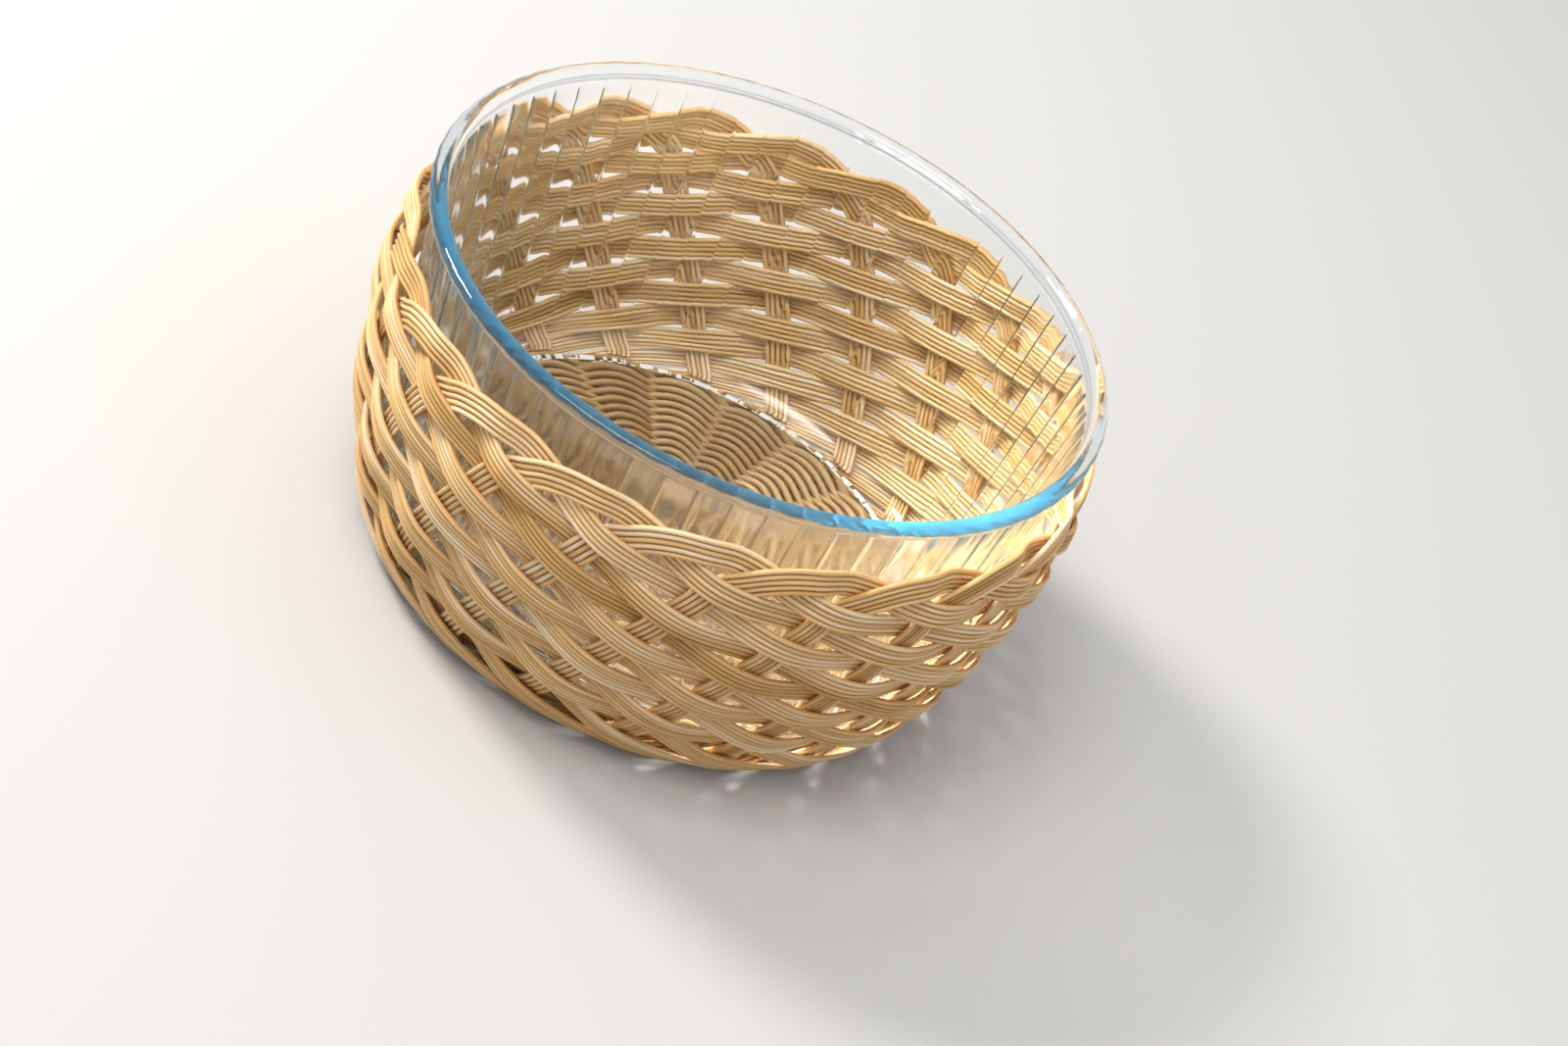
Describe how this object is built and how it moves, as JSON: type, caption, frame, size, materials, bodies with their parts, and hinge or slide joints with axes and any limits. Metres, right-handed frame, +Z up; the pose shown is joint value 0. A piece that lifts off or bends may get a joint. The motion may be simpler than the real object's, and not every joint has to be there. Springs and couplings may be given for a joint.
{
  "type": "wicker casserole holder",
  "caption": "Round deep holder plaited from flat strands of wicker rods with a scalloped edge and a woven base, carrying a fluted glass dish that lifts out.",
  "frame": {"origin": "centre of the flat ring of strand ends that the holder stands on, at the level of the surface it stands on", "axes": "+Z up along the axis of the dish, through the rim; X and Y lie in the plane the holder stands on, and the plait repeats all round"},
  "size_m": [0.2312, 0.2312, 0.1169],
  "materials": {
    "wall_wicker": "satin",
    "base_wicker": "satin",
    "dish_glass": "gloss"
  },
  "bodies": {
    "holder": {"wall_strand_01": "wall_wicker", "wall_strand_02": "wall_wicker", "wall_strand_03": "wall_wicker", "wall_strand_04": "wall_wicker", "wall_strand_05": "wall_wicker", "wall_strand_06": "wall_wicker", "wall_strand_07": "wall_wicker", "wall_strand_08": "wall_wicker", "wall_strand_09": "wall_wicker", "wall_strand_10": "wall_wicker", "wall_strand_11": "wall_wicker", "wall_strand_12": "wall_wicker", "wall_strand_13": "wall_wicker", "wall_strand_14": "wall_wicker", "wall_strand_15": "wall_wicker", "wall_strand_16": "wall_wicker", "wall_strand_17": "wall_wicker", "wall_strand_18": "wall_wicker", "wall_strand_19": "wall_wicker", "wall_strand_20": "wall_wicker", "base_stick_01": "base_wicker", "base_stick_02": "base_wicker", "base_stick_03": "base_wicker", "base_stick_04": "base_wicker", "base_stick_05": "base_wicker", "base_stick_06": "base_wicker", "base_stick_07": "base_wicker", "base_stick_08": "base_wicker", "base_stick_09": "base_wicker", "base_stick_10": "base_wicker", "slath_binder_1": "base_wicker", "slath_binder_2": "base_wicker", "slath_binder_3": "base_wicker", "base_weaver_a": "base_wicker", "base_weaver_b": "base_wicker"},
    "dish": {"glass_dish": "dish_glass"}
  },
  "joints": [
    {"name": "dish_lift", "type": "slide", "parent": "holder", "child": "dish", "axis": [0, 0, 1], "range_m": [0, 0.12]}
  ]
}
